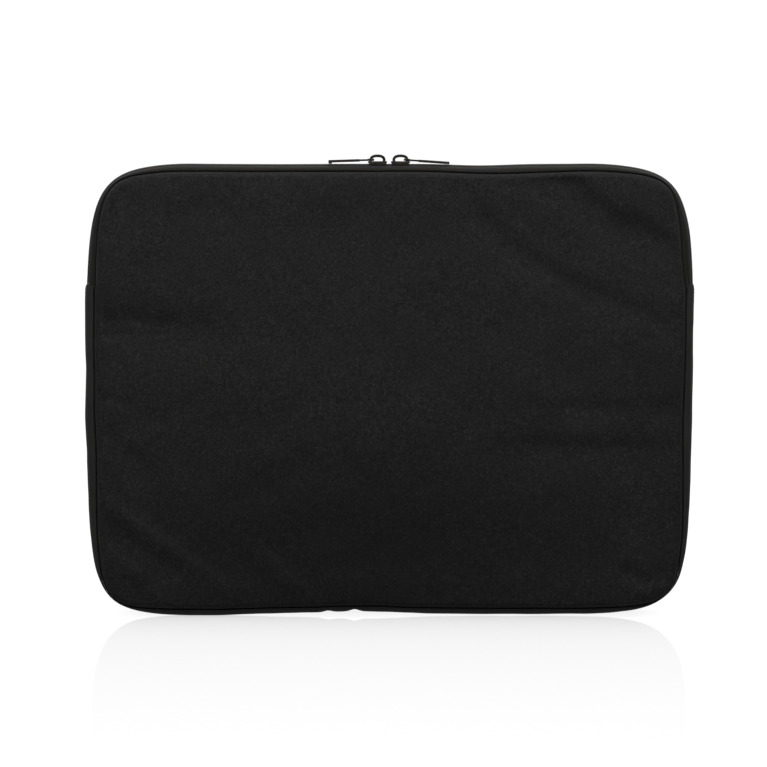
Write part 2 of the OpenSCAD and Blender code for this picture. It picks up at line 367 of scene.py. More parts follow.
def crease(points, path, width, depth):
    """A smooth trench (depth below 0) or ridge (above 0) along a path of (x, z) points.

    It fades at both ends. Its lower side is gentler than its upper side, as in fabric that hangs."""
    path = np.array(path, float)
    if path[-1, 0] < path[0, 0]:
        path = path[::-1]
    length = distance_along(path)
    nearest = np.full(len(points), 1e9)
    share = np.zeros(len(points))
    above = np.zeros(len(points), bool)
    for first, last, begun in zip(path, path[1:], length):
        run = last - first
        t = np.clip(((points - first) @ run) / (run @ run), 0, 1)
        gap = np.linalg.norm(points - first - t[:, None] * run, axis=1)
        closer = gap < nearest
        nearest = np.where(closer, gap, nearest)
        share = np.where(closer, (begun + t * np.linalg.norm(run)) / length[-1], share)
        over = run[0] * (points[:, 1] - first[1]) > run[1] * (points[:, 0] - first[0])
        above = np.where(closer, over, above)
    fade = np.sin(np.pi * np.clip(0.08 + 0.84 * share, 0, 1)) ** 0.7
    reach = width * np.where(above, 0.85, 1.5)
    return depth * fade * np.exp(-((nearest / reach) ** 2))


# Each crease has a path of (x, z) points, a width and a depth
FRONT_CREASES = [
    # upper right turn: folds that run down towards the right side
    ([(92, 298), (107, 281), (124, 266), (146, 252), (172, 239), (190, 227), (206, 215)], 11.0, -3.7),
    ([(84, 284), (94, 273), (106, 263)], 4.5, -1.0),
    ([(50, 270), (58, 256), (76, 237), (103, 220), (139, 203), (176, 188)], 7.0, -2.1),
    # left side, under the band's end
    ([(-196, 188), (-160, 187), (-118, 184), (-92, 182)], 12.0, -3.0),
    ([(-190, 181), (-172, 181), (-158, 183)], 2.0, -0.8),
    ([(-188, 141), (-176, 140), (-164, 137)], 2.6, -0.6),
    ([(-187, 124), (-168, 106), (-150, 90)], 6.0, -1.0),
    # lower left turn
    ([(-192, 83), (-157, 57), (-128, 36), (-104, 19)], 4.5, 1.5),
    ([(-190, 66), (-158, 42), (-134, 26)], 7.0, -1.2),
    ([(-178, 42), (-160, 28), (-146, 16)], 5.0, 1.0),
    ([(-84, 45), (-66, 27), (-51, 14)], 4.0, 1.1),
    ([(-96, 34), (-84, 22), (-74, 12)], 6.0, -0.6),
    # right side
    ([(84, 134), (140, 134), (196, 135)], 6.0, -1.2),
    ([(60, 111), (130, 108), (196, 107)], 8.0, -1.5),
    # lower right turn
    ([(148, 24), (164, 17), (182, 21)], 3.5, 0.9),
    ([(150, 30), (168, 24), (186, 28)], 5.0, -0.8),
]

BACK_CREASES = [
    ([(-120, 280), (-150, 262), (-186, 244)], 8.0, -1.4),
    ([(-90, 278), (-120, 256), (-160, 236)], 10.0, 0.8),
    ([(186, 208), (150, 198), (110, 197)], 10.0, -0.9),
    ([(187, 80), (150, 56), (118, 34)], 7.0, 1.0),
    ([(183, 60), (154, 42), (130, 27)], 7.0, -1.1),
    ([(-80, 138), (-130, 134), (-188, 130)], 10.0, -0.8),
    ([(-150, 34), (-168, 26), (-182, 30)], 6.0, -0.8),
    ([(40, 180), (0, 168), (-50, 170)], 16.0, 0.6),
]


def edge_gap(points, ring):
    """Distance from each point to a closed ring of points."""
    nearest = np.full(len(points), 1e9)
    for start in range(0, len(points), 4000):
        part = points[start:start + 4000]
        gaps = np.linalg.norm(part[:, None] - ring[None], axis=2)
        nearest[start:start + 4000] = gaps.min(1)
    return nearest


def panel_grid(step):
    """Flat layout of a panel: a patch of squares inside, and rings out to the seam.

    Returns points (x, z), their distance in from the seam, and faces, using every `step`-th station."""
    ring = SEAM[::step]
    way = OUT[::step]
    across, upward = ACROSS // step, UPWARD // step
    inner = ring - way * STRIP[-1]
    bottom = inner[:across + 1]
    right = inner[across:across + upward + 1]
    top = inner[across + upward:2 * across + upward + 1][::-1]
    left = np.vstack([inner[2 * across + upward:], inner[:1]])[::-1]
    u = np.linspace(0, 1, across + 1)[None, :, None]
    v = np.linspace(0, 1, upward + 1)[:, None, None]
    patch = (1 - v) * bottom[None] + v * top[None] + (1 - u) * left[:, None] + u * right[:, None]
    patch -= (
        (1 - u) * (1 - v) * bottom[0] + u * (1 - v) * bottom[-1]
        + (1 - u) * v * top[0] + u * v * top[-1]
    )
    index = np.arange((across + 1) * (upward + 1)).reshape(upward + 1, across + 1)
    squares = np.stack([index[:-1, :-1], index[:-1, 1:], index[1:, 1:], index[1:, :-1]], -1)
    faces = squares.reshape(-1, 4).tolist()
    edge = np.concatenate([index[0, :-1], index[:-1, -1], index[-1, :0:-1], index[:0:-1, 0]])
    points = [patch.reshape(-1, 2)]
    inward = [edge_gap(points[0], inner) + STRIP[-1]]
    inward[0][edge] = STRIP[-1]
    before = edge
    total = len(points[0])
    for gap in STRIP[-2::-1]:
        points.append(ring - way * gap)
        inward.append(np.full(len(ring), gap))
        here = total + np.arange(len(ring))
        total += len(ring)
        quads = np.stack([here, np.roll(here, -1), np.roll(before, -1), before], -1)
        faces += quads.tolist()
        before = here
    return np.vstack(points), np.concatenate(inward), faces


def roll_height(inward):
    """Height of the cover over its groove: a quarter round at its rolled edge, then level."""
    start, rise, run = 0.2, FACE - GROOVE, 3.6
    t = np.clip((inward - start) / run, 0, 1)
    return rise * np.sqrt(1 - (1 - t) ** 2)


def belly(points, inward):
    """Slow swell of a panel over its flat face, fullest a little below the middle of its height."""
    pillow = 1.7 * (1 - np.exp(-inward / 30))
    sag = 2.4 * hump(points[:, 1], 122, 85)
    return pillow + sag * smoothstep(inward / 60)


def relief(points, inward, creases, seed):
    """Folds and slow waves of a panel's padding, fading to nothing at the seam."""
    total = 0.5 * rolling(points, seed, 70) + 0.3 * rolling(points, seed + 1, 26)
    for path, width, depth in creases:
        total += crease(points, path, width, depth)
    # small puckers where the seam gathers the fabric
    way = np.arctan2(points[:, 1] - TOP / 2, points[:, 0])
    gather = np.sin(way * 61 + 2.5 * np.sin(way * 7)) + np.sin(way * 97 + 1.3)
    total += 0.09 * gather * np.exp(-inward / 7)
    return total * smoothstep(inward / 7)


def stuffed_shift(name, side, creases, seed):
    """How far the padding pushes each point of a panel, on the coarse layout.

    It comes from a cloth simulation of the cover, held at the seam and pressed from inside."""
    points, inward, faces = panel_grid(COARSE)
    base = cover_outside(points, inward) + relief(points, inward, creases, seed)
    cloud = np.stack([points[:, 0], side * base, points[:, 1]], 1)
    patch = mesh_object(name + "_pattern", cloud, faces if side > 0 else [face[::-1] for face in faces])
    held = patch.vertex_groups.new(name="held")
    for index, grip in enumerate(1 - smoothstep((inward - 2.0) / 26.0)):
        held.add([index], float(grip), "REPLACE")
    cloth = patch.modifiers.new("cloth", "CLOTH")
    fabric = cloth.settings
    fabric.quality = 6
    fabric.mass = 0.3
    fabric.tension_stiffness = fabric.compression_stiffness = 18
    fabric.shear_stiffness = 8
    fabric.bending_stiffness = 6.0
    fabric.vertex_group_mass = "held"
    fabric.pin_stiffness = 1.0
    fabric.shrink_min = -0.006
    fabric.use_pressure = True
    fabric.uniform_pressure_force = 4.0
    fabric.effector_weights.gravity = 0
    scene = bpy.context.scene
    scene.frame_start, scene.frame_end = 1, SETTLE_FRAMES
    cloth.point_cache.frame_start, cloth.point_cache.frame_end = 1, SETTLE_FRAMES
    for step in range(1, SETTLE_FRAMES + 1):
        scene.frame_set(step)
    settled = patch.evaluated_get(bpy.context.evaluated_depsgraph_get())
    ended = np.empty(len(points) * 3)
    settled.data.vertices.foreach_get("co", ended)
    scene.frame_set(1)
    moved = ended.reshape(-1, 3)[:, 1] / MM * side - base
    bpy.data.objects.remove(patch)
    return STUFFED_MOST * np.tanh(ironed(moved, faces) / STUFFED_MOST)


def ironed(values, faces, rounds=14):
    """Values at a mesh's points with small wrinkles taken out, by averaging each with its neighbours."""
    faces = np.array(faces)
    ends = np.vstack([np.stack([faces[:, k], faces[:, (k + 1) % 4]], 1) for k in range(4)])
    ends = np.vstack([ends, ends[:, ::-1]])
    count = np.bincount(ends[:, 0], minlength=len(values))
    for _ in range(rounds):
        total = np.bincount(ends[:, 0], weights=values[ends[:, 1]], minlength=len(values))
        values = 0.4 * values + 0.6 * total / count
    return values


def spread_shift(coarse, step):
    """The coarse shift on a layout that uses every `step`-th station."""
    if step == COARSE:
        return coarse
    rows, columns = UPWARD // COARSE + 1, ACROSS // COARSE + 1
    patch = coarse[:rows * columns].reshape(rows, columns)
    fine_rows = np.linspace(0, rows - 1, UPWARD // step + 1)
    fine_columns = np.linspace(0, columns - 1, ACROSS // step + 1)
    patch = np.stack([np.interp(fine_columns, np.arange(columns), row) for row in patch])
    patch = np.stack([np.interp(fine_rows, np.arange(rows), column) for column in patch.T], 1)
    rings = coarse[rows * columns:].reshape(len(STRIP) - 1, -1)
    around = np.arange(RING // step) * step / COARSE
    wrapped = np.hstack([rings, rings[:, :1]])
    rings = np.stack([np.interp(around, np.arange(wrapped.shape[1]), ring) for ring in wrapped])
    return np.concatenate([patch.ravel(), rings.ravel()])


def panel_slab(name, side, step, start, outer, inner, creases, seed, stuffed):
    """A layer of a panel between two depths that depend on (points, inward), from `start` inward.

    side is -1 in front and 1 behind."""
    points, inward, faces = panel_grid(step)
    shift = relief(points, inward, creases, seed) + spread_shift(stuffed, step)
    keep = inward >= start - 1e-6
    renumber = np.cumsum(keep) - 1
    kept = [[renumber[i] for i in face] for face in faces if all(keep[i] for i in face)]
    points, inward, shift = points[keep], inward[keep], shift[keep]
    count = len(points)
    rim = np.arange(count - RING // step, count)
    cloud = np.empty((2 * count, 3))
    cloud[:count, 0], cloud[count:, 0] = points[:, 0], points[:, 0]
    cloud[:count, 2], cloud[count:, 2] = points[:, 1], points[:, 1]
    cloud[:count, 1] = side * (outer(points, inward) + shift)
    cloud[count:, 1] = side * (inner(points, inward) + shift)
    faces = kept + [[i + count for i in face[::-1]] for face in kept]
    ahead = np.roll(rim, -1)
    faces += np.stack([rim, rim + count, ahead + count, ahead], -1).tolist()
    return face_outward(mesh_object(name, cloud, faces))


def cover_outside(points, inward):
    return GROOVE + roll_height(inward) + belly(points, inward)


def cover_inside(points, inward):
    return cover_outside(points, inward) - COVER_THICK


def foam_outside(points, inward):
    return cover_inside(points, inward) - LAYER_GAP


def foam_inside(points, inward):
    return FOAM_INSIDE + belly(points, inward)


def lining_inside(points, inward):
    return foam_inside(points, inward) - LINING_THICK


def make_panel(word, side, creases, seed):
    """A panel's cover, foam and lining."""
    stuffed = stuffed_shift(word, side, creases, seed)
    shape = (creases, seed, stuffed)
    cover = panel_slab("cover_" + word, side, 1, 0, cover_outside, cover_inside, *shape)
    foam = panel_slab("foam_pad_" + word, side, 2, 0.95, foam_outside, foam_inside, *shape)
    lining = panel_slab("lining_panel_" + word, side, 2, 1.5, foam_inside, lining_inside, *shape)
    return cover, foam, lining


# ---------------------------------------------------------------- edge band

def band_line(stations, inset, points=25):
    """The band's cross-section at each station, drawn in by a share of its bulge: (out, deep).

    It has a flange at the seam, then a wall that leaves a groove beside the panel, then the bulge."""
    angle = np.linspace(math.radians(-8), math.radians(188), points)
    sine, cosine = np.sin(angle), np.cos(angle)
    bulge = BULGE[stations][:, None]
    thin = inset * bulge
    foot = np.minimum(0.35 + 0.55 * OUT[stations, :1] ** 2, 0.3 * bulge)
    foot = np.minimum(foot + 0.5 * thin, 0.8 * (bulge - thin))
    out = foot + (bulge - thin - foot) * np.clip(sine, 0, 1) ** 0.86
    deep = fuller(cosine, 0.62) * (LIP - thin)
    flange = GROOVE - thin
    out = np.concatenate([0 * foot, foot, out, foot, 0 * foot], axis=1)
    deep = np.concatenate([flange, flange, deep, -flange, -flange], axis=1)
    return out, deep


def band_layer(name, outer, inner, wobble=0.0):
    """A layer of the band between two insets. Its outer side may wave a little."""
    upper = band_line(BELOW, outer)
    lower = band_line(BELOW, inner)
    if wobble:
        run = np.repeat(ALONG[BELOW][:, None], upper[0].shape[1], 1)
        where = np.stack([run.ravel(), 1.6 * upper[1].ravel()], 1)
        wave = rolling(where, 31, 34).reshape(upper[0].shape)
        bulge = BULGE[BELOW][:, None]
        flatness = np.clip(1 - (upper[1] / LIP) ** 4, 0, 1) * upper[0] / bulge
        upper = (np.minimum(upper[0] + wobble * wave * flatness, bulge + 0.25), upper[1])
    out, deep = loop_profile(upper, lower)
    return sharpen(sweep(name, BELOW, out, deep), 50)


# ---------------------------------------------------------------- zip

# Half the width and half the height of a coil's turns, the radius of its wire and of the cord inside it,
# and its pitch
COIL_SPAN = 1.65
COIL_RISE = 0.62
COIL_WIRE = 0.27
COIL_CORE = 0.6
COIL_PITCH = 1.3

# How thick the tape is, and how far from the middle plane the coil's stitches run
TAPE_THICK = 0.55
STITCH_DEEP = 3.75


def tape_line(stations, points=15):
    """One half of the tape from the seam to the coil: (out, deep)."""
    turn = np.linspace(0, np.pi / 2, points)[None]
    bulge = BULGE[stations][:, None]
    top = bulge - 1.2
    deep = 0.9 + 9.85 * np.cos(turn) ** 0.8 + np.zeros_like(bulge)
    foot = np.minimum(0.6, 0.3 * top)
    out = foot + (top - foot) * np.sin(turn)
    start = np.zeros_like(bulge)
    out = np.concatenate([start, start + 0.12, out], axis=1)
    deep = np.concatenate([start + GROOVE, start + 10.4, deep], axis=1)
    return out, deep


def make_tape(name, side):
    upper = tape_line(ABOVE)
    lower = (upper[0] - TAPE_THICK, upper[1] - np.where(upper[1] > 9, 0.4, 0.0))
    out, deep = loop_profile(upper, lower)
    return sweep(name, ABOVE, out, side * deep)


def pick(place, run, table):
    """Rows of a table, read at places along its run."""
    return np.stack([np.interp(place, run, column) for column in table.T], 1)


def along_top(stations, every):
    """Even places along a run of stations, and the seam point, outward direction and bulge at each."""
    run = distance_along(EDGE[stations])
    place = np.arange(0, run[-1], every)
    way = unit(pick(place, run, OUT[stations]))
    return place, pick(place, run, SEAM[stations]), way, np.interp(place, run, BULGE[stations])


def tube(line, radius, sides):
    """A closed round tube along a dense line of points, in millimetres."""
    line = np.asarray(line)
    ahead = unit(np.gradient(line, axis=0))
    helper = np.where(np.abs(ahead[:, 1:2]) < 0.9, [[0.0, 1.0, 0.0]], [[1.0, 0.0, 0.0]])
    first = unit(np.cross(ahead, helper))
    second = np.cross(ahead, first)
    angle = np.arange(sides) * 2 * np.pi / sides
    ring = first[:, None] * np.cos(angle)[None, :, None] + second[:, None] * np.sin(angle)[None, :, None]
    points = line[:, None] + radius * ring
    return points.reshape(-1, 3), ring_faces(np.arange(len(line) * sides).reshape(-1, sides))


def make_coil(name, side):
    """One half of the nylon coil: a helix round a filler cord. The halves are half a turn apart."""
    turn_points = 14
    stations = stations_where(EDGE[:, 1] > FLEX - 1.0)
    place, point, way, bulge = along_top(stations, COIL_PITCH / turn_points)
    angle = 2 * np.pi * place / COIL_PITCH + (0 if side > 0 else np.pi)
    out = bulge - COIL_RISE - COIL_WIRE
    parts = []
    for lift, reach, radius, sides in (
        (COIL_RISE * np.sin(angle), COIL_SPAN * np.cos(angle), COIL_WIRE, 5),
        (0 * angle, 0 * angle, COIL_CORE, 6),
    ):
        deep = side * (COIL_SPAN - 0.3 + reach)
        flat = point + way * (out + lift)[:, None]
        line = np.stack([flat[:, 0], deep, flat[:, 1]], 1)
        thin = slice(None, None, 1 if radius == COIL_WIRE else turn_points)
        points, faces = tube(line[thin], radius, sides)
        parts.append(face_outward(mesh_object(name, points, faces)))
    return join(name, parts)


def stitch_row(name, points, ups, length, pitch, radius):
    """A row of arched stitches along a dense line. ups point away from the cloth."""
    run = distance_along(points)
    cloud, faces, total = [], [], 0
    rings, sides = 7, 6
    arch = np.sin(np.linspace(0, np.pi, rings)) ** 0.6
    for begin in np.arange(pitch / 2, run[-1] - length, pitch):
        place = begin + np.linspace(0, length, rings)
        line = pick(place, run, points) + pick(place, run, ups) * (radius * (1.6 * arch - 0.9))[:, None]
        shape, skin = tube(line, radius, sides)
        cloud.append(shape)
        faces += [[i + total for i in face] for face in skin]
        total += len(shape)
    return face_outward(mesh_object(name, np.vstack(cloud), faces))


def edge_line(stations, out, deep):
    """A line in space beside the edge, with its outward directions."""
    way = OUT[stations]
    flat = SEAM[stations] + way * out[:, None]
    points = np.stack([flat[:, 0], np.full(len(flat), deep), flat[:, 1]], 1)
    return points, np.stack([way[:, 0], np.zeros(len(way)), way[:, 1]], 1)


def make_coil_stitches(name, side):
    """The stitches that hold a coil to its tape."""
    out = np.array([np.interp(-STITCH_DEEP, -deep, out) for out, deep in zip(*tape_line(ABOVE))])
    points, ups = edge_line(ABOVE, out, side * STITCH_DEEP)
    return stitch_row(name, points, ups, length=1.9, pitch=2.6, radius=0.17)


# ---------------------------------------------------------------- bindings inside

# A binding's depth from the middle plane, how far in from the seam it lies, half its thickness and half
# its width
BINDING_DEEP = 7.65
BINDING_INWARD = 1.75
BINDING_THICK = 0.72
BINDING_WIDE = 1.45


def make_binding(name, side):
    """A folded tape over the seam allowance: a soft rounded rectangle, flat against the lining."""
    angle = np.linspace(0, 2 * np.pi, 16, endpoint=False)
    out = BINDING_WIDE * fuller(np.cos(angle), 0.5) - BINDING_INWARD + np.zeros((RING, 1))
    ripple = 0.12 * np.sin(ALONG * 0.9)[:, None]
    deep = BINDING_DEEP + BINDING_THICK * fuller(np.sin(angle), 0.5) + ripple * (np.sin(angle) < 0)
    return sweep(name, EVERY, out, side * deep, closed=True)


def make_binding_stitches(name, side):
    """Stitches all round, on the inner face of a binding."""
    closed = np.r_[EVERY, EVERY[:1]]
    points, _ = edge_line(closed, np.full(RING + 1, -2.2), side * (BINDING_DEEP - BINDING_THICK))
    ups = np.zeros((RING + 1, 3))
    ups[:, 1] = -side
    return stitch_row(name, points, ups, length=2.4, pitch=3.4, radius=0.2)


# ---------------------------------------------------------------- band ends

def make_end_stitches(name, side):
    """Two short rows of stitches across the band, just under one end of the zip."""
    near = EDGE[:, 0] * side > 0
    flat_half = 8.6
    rows = []
    for drop in (2.4, 4.4):
        height = FLEX - drop
        station = int(np.argmin(np.abs(EDGE[:, 1] - height) + np.where(near, 0, 1e6)))
        out, deep = band_line(np.array([station]), 0.0, 61)
        flat = np.abs(deep[0]) < flat_half
        out, deep = out[0][flat], deep[0][flat]
        base, way = SEAM[station], OUT[station]
        points = np.stack([base[0] + way[0] * out, deep, np.full(len(out), height)], 1)
        ups = np.tile([way[0], 0, way[1]], (len(out), 1))
        rows.append(stitch_row(name, points, ups, length=1.9, pitch=2.5, radius=0.2))
    return join(name, rows)


def join(name, pieces):
    """Several objects as one mesh object, in place."""
    shape = bmesh.new()
    for piece in pieces:
        piece.data.transform(piece.matrix_world)
        shape.from_mesh(piece.data)
    mesh = bpy.data.meshes.new(name)
    shape.to_mesh(mesh)
    shape.free()
    for piece in pieces:
        bpy.data.objects.remove(piece)
    return add_object(name, mesh)


# ---------------------------------------------------------------- sliders and pullers

def plate(name, loops, low, high, bevel):
    """A flat plate in X and Y with rounded edges, from closed loops of points. The first is its outline."""
    curve = bpy.data.curves.new(name, "CURVE")
    curve.dimensions = "2D"
    curve.fill_mode = "BOTH"
    curve.extrude = ((high - low) / 2 - bevel) * MM
    curve.bevel_depth = bevel * MM
    curve.bevel_resolution = 2
    curve.offset = -bevel * MM
    for loop in loops:
        spline = curve.splines.new("POLY")
        spline.points.add(len(loop) - 1)
        spline.points.foreach_set("co", np.array([(x * MM, y * MM, 0, 1) for x, y in loop]).ravel())
        spline.use_cyclic_u = True
    draft = add_object(name, curve)
    mesh = bpy.data.meshes.new_from_object(draft.evaluated_get(bpy.context.evaluated_depsgraph_get()))
    bpy.data.objects.remove(draft)
    mesh.transform(Matrix.Translation((0, 0, (low + high) / 2 * MM)))
    return add_object(name, mesh)


def rounded_loop(left, right, half_left, half_right, corner, points=8):
    """A loop round a plate that may taper: from x left to right, with half widths at both ends."""
    middles = (
        (right - corner, corner - half_right), (right - corner, half_right - corner),
        (left + corner, half_left - corner), (left + corner, corner - half_left),
    )
    loop = []
    for turn, (x, y) in enumerate(middles):
        for step in range(points + 1):
            angle = math.radians(270 + 90 * (turn + step / points))
            loop.append((x + corner * math.cos(angle), y + corner * math.sin(angle)))
    return loop


def strap(name, path, half_width, half_thick):
    """A rounded flat strap swept along a path of (x, z), with its width along Y."""
    path = np.array(path)
    ahead = unit(np.gradient(path, axis=0))
    side = np.stack([-ahead[:, 1], ahead[:, 0]], 1)
    angle = np.linspace(0, 2 * np.pi, 28, endpoint=False)
    thick = half_thick * fuller(np.sin(angle), 0.35)
    points = np.empty((len(path), len(angle), 3))
    points[..., 0] = path[:, None, 0] + side[:, None, 0] * thick
    points[..., 1] = half_width * fuller(np.cos(angle), 0.45)
    points[..., 2] = path[:, None, 1] + side[:, None, 1] * thick
    faces = ring_faces(np.arange(len(path) * len(angle)).reshape(len(path), -1))
    return face_outward(mesh_object(name, points.reshape(-1, 3), faces))


def spread(pair, gap):
    """Moves a pair of like pieces apart, each by a gap to its own side of the middle plane."""
    for side, piece in zip((-1, 1), pair):
        piece.data.transform(Matrix.Translation((0, side * gap * MM, 0)))


def slider_body(name):
    """Top plate, bottom plate, side flanges and wedge of the right slider."""
    nose, tail = SLIDER_LOW[0], SLIDER_HIGH[0]
    low, high = SLIDER_LOW[2], SLIDER_HIGH[2]
    half = SLIDER_HIGH[1]
    top = plate(name, [rounded_loop(nose, tail, half, half - 0.7, 1.7)], high - 1.2, high, 0.35)
    under = plate(name, [rounded_loop(nose, tail, half - 0.4, half - 0.9, 1.6)], low, low + 1.0, 0.3)
    diamond = [(nose + 0.5, 0), (nose + 2, -0.65), (nose + 5, 0), (nose + 2, 0.65)]
    wedge = plate(name, [diamond], low + 0.9, high - 1.1, 0.05)
    loop = rounded_loop(nose + 0.7, tail - 0.7, 0.68, 0.68, 0.6)
    flanges = [plate(name, [loop], high - 2.6, high - 0.5, 0.25) for _ in range(2)]
    spread(flanges, half - 0.8)
    return join(name, [top, under, wedge] + flanges)


def slider_crown(name):
    """The round arch over the right slider, with a foot at both ends."""
    start, end = CROWN_LOW[0] + 0.35, CROWN_HIGH[0] - 0.55
    low, high = CROWN_LOW[2], CROWN_HIGH[2] - 1.0
    middle, reach = (start + end) / 2, (end - start) / 2
    angle = np.linspace(math.pi, 0, 33)
    x = middle + reach * fuller(np.cos(angle), 0.86)
    z = low + 0.5 + (high - low - 0.5) * np.sin(angle) ** 0.8
    path = [(x[0] + 0.25, low - 0.3), *zip(x, z), (x[-1] - 0.25, low - 0.3)]
    arch = strap(name, path, CROWN_HIGH[1], 0.92)
    feet = [
        plate(name, [rounded_loop(foot - 1.0, foot + 1.0, 1.7, 1.7, 0.6)], low - 0.1, low + 0.5, 0.22)
        for foot in (start + 0.1, end - 0.1)
    ]
    return join(name, [arch] + feet)


def puller(name, slope, lip_drop):
    """The right puller: pin, eye, neck and a slim tab with a raised rim and a turned-down tip.

    slope is how far the tab hangs towards its tip, in degrees. lip_drop is how far the tip turns down."""
    half = PULLER_HIGH[1]
    tip = PULL_LENGTH
    outer = [(-0.6, -2.55), (5.0, -2.6), (6.3, -1.5), (7.0, -1.3), (8.0, -1.7), (8.9, -half)]
    outer += [(tip - 1.2, -half), (tip - 0.35, 0.35 - half), (tip, 1.2 - half)]
    inner = [(-0.6, -1.72), (3.4, -1.72), (4.2, -1.0)]
    loop = outer + [(x, -y) for x, y in reversed(outer)] + [(x, -y) for x, y in inner]
    loop += [(x, y) for x, y in reversed(inner)]
    body = plate(name, [loop], -0.52, 0.7, 0.12)
    rim_outer = rounded_loop(8.8, tip - 0.15, half - 0.15, half - 0.1, 1.0)
    rim_inner = rounded_loop(10.0, tip - 1.5, half - 1.15, half - 1.15, 0.7)
    rims = [plate(name, [rim_outer, rim_inner], low, low + 0.34, 0.07) for low in (0.54, -0.8)]
    lip = plate(name, [rounded_loop(tip - 2.2, tip, half, half - 0.1, 0.7)], -0.45 - lip_drop, 0.25, 0.25)
    cheek_path = [(-0.5, 0.1), (0, 0.15), (0.8, 0.2), (1.8, 0.25), (3.6, 0.25)]
    cheeks = [strap(name, cheek_path, 0.43, 0.68) for _ in range(2)]
    spread(cheeks, 2.14)
    points, faces = tube([(0, y, 0) for y in np.linspace(-2.6, 2.6, 5)], radius=0.58, sides=16)
    pin = face_outward(mesh_object(name, points, faces))
    whole = join(name, [body, lip, pin] + rims + cheeks)
    place = Matrix.Translation(Vector(PIN) * MM) @ Matrix.Rotation(math.radians(slope), 4, "Y")
    whole.data.transform(place)
    return whole


def mirrored(piece, name):
    """A copy of a piece on the other side of the middle."""
    mesh = piece.data.copy()
    mesh.transform(Matrix.Diagonal((-1, 1, 1, 1)))
    mesh.flip_normals()
    return add_object(name, mesh)


# ---------------------------------------------------------------- materials

def grey(value, warm=0.0):
    return (value * (1 + warm), value, value * (1 - warm))


class Nodes:
    """A short way to write shader nodes. Their levels are greys, which `warm` makes a little browner."""

    def __init__(self, tree):
        self.tree = tree

    def feed(self, socket, value):
        """Gives a socket a number, a colour or another node's output."""
        if isinstance(value, (int, float)):
            socket.default_value = value
        elif isinstance(value, tuple):
            socket.default_value = (*value, 1)
        else:
            self.tree.links.new(value, socket)

    def add(self, kind, **values):
        node = self.tree.nodes.new("ShaderNode" + kind)
        for key, value in values.items():
            if key in node.inputs:
                node.inputs[key].default_value = value
            else:
                setattr(node, key, value)
        return node

    def place(self, kind="Object"):
        return self.add("TexCoord").outputs[kind]

    def scaled(self, vector, scale):
        node = self.add("Mapping", Scale=scale)
        self.feed(node.inputs["Vector"], vector)
        return node.outputs["Vector"]

    def noise(self, vector, scale, detail=2.0, roughness=0.5):
        node = self.add("TexNoise", Scale=scale, Detail=detail, Roughness=roughness)
        self.feed(node.inputs["Vector"], vector)
        return node.outputs["Fac"]

    def cells(self, vector, scale):
        node = self.add("TexVoronoi", Scale=scale)
        self.feed(node.inputs["Vector"], vector)
        return node.outputs["Distance"]

    def math(self, operation, first, second=0.0, clamp=False):
        node = self.add("Math", operation=operation, use_clamp=clamp)
        self.feed(node.inputs[0], first)
        self.feed(node.inputs[1], second)
        return node.outputs[0]

    def product(self, first, second):
        return self.math("MULTIPLY", first, second)

    def wave(self, run, pitch):
        return self.math("SINE", self.product(run, 2 * math.pi / pitch))

    def ramp(self, value, *stops, warm=0.0):
        """Greys between stops of (place, level)."""
        node = self.add("ValToRGB")
        band = node.color_ramp
        while len(band.elements) < len(stops):
            band.elements.new(0.5)
        for element, (place, level) in zip(band.elements, stops):
            element.position = place
            element.color = (*grey(level, warm), 1)
        self.feed(node.inputs["Fac"], value)
        return node.outputs["Color"]

    def mix(self, blend, share, first, second):
        node = self.add("Mix", data_type="RGBA", blend_type=blend)
        sockets = {s.identifier: s for s in node.inputs}
        for key, value in (("Factor_Float", share), ("A_Color", first), ("B_Color", second)):
            self.feed(sockets[key], value)
        return {s.identifier: s for s in node.outputs}["Result_Color"]

    def tinted(self, first, second):
        return self.mix("MULTIPLY", 1.0, first, second)

    def separate(self, vector):
        node = self.add("SeparateXYZ")
        self.feed(node.inputs[0], vector)
        return node.outputs

    def shader(self, kind, *inputs):
        """A shader node, with its inputs in order."""
        node = self.add(kind)
        for socket, value in zip(node.inputs, inputs):
            self.feed(socket, value)
        return node.outputs[0]

    def ends_in(self, output, result):
        self.feed(self.tree.nodes[output].inputs["Surface"], result)


class Shader(Nodes):
    """The nodes of one material. Its level is a grey."""

    def __init__(self, name, level, roughness, sheen=0.0, shine=0.5, warm=0.0):
        self.material = bpy.data.materials.new(name)
        self.material.use_nodes = True
        super().__init__(self.material.node_tree)
        self.bsdf = self.tree.nodes["Principled BSDF"]
        self.set("Base Color", (*grey(level, warm), 1))
        self.set("Roughness", roughness)
        self.set("Sheen Weight", sheen)
        self.set("Specular IOR Level", shine)

    def set(self, socket, value):
        self.bsdf.inputs[socket].default_value = value

    def finish(self, color, roughness, height, strength, distance):
        """Links colour, roughness where it varies, and a bump of that height."""
        bump = self.add("Bump", Strength=strength, Distance=distance)
        self.feed(bump.inputs["Height"], height)
        self.feed(self.bsdf.inputs["Normal"], bump.outputs["Normal"])
        self.feed(self.bsdf.inputs["Base Color"], color)
        if roughness is not None:
            self.feed(self.bsdf.inputs["Roughness"], roughness)
        return self.material


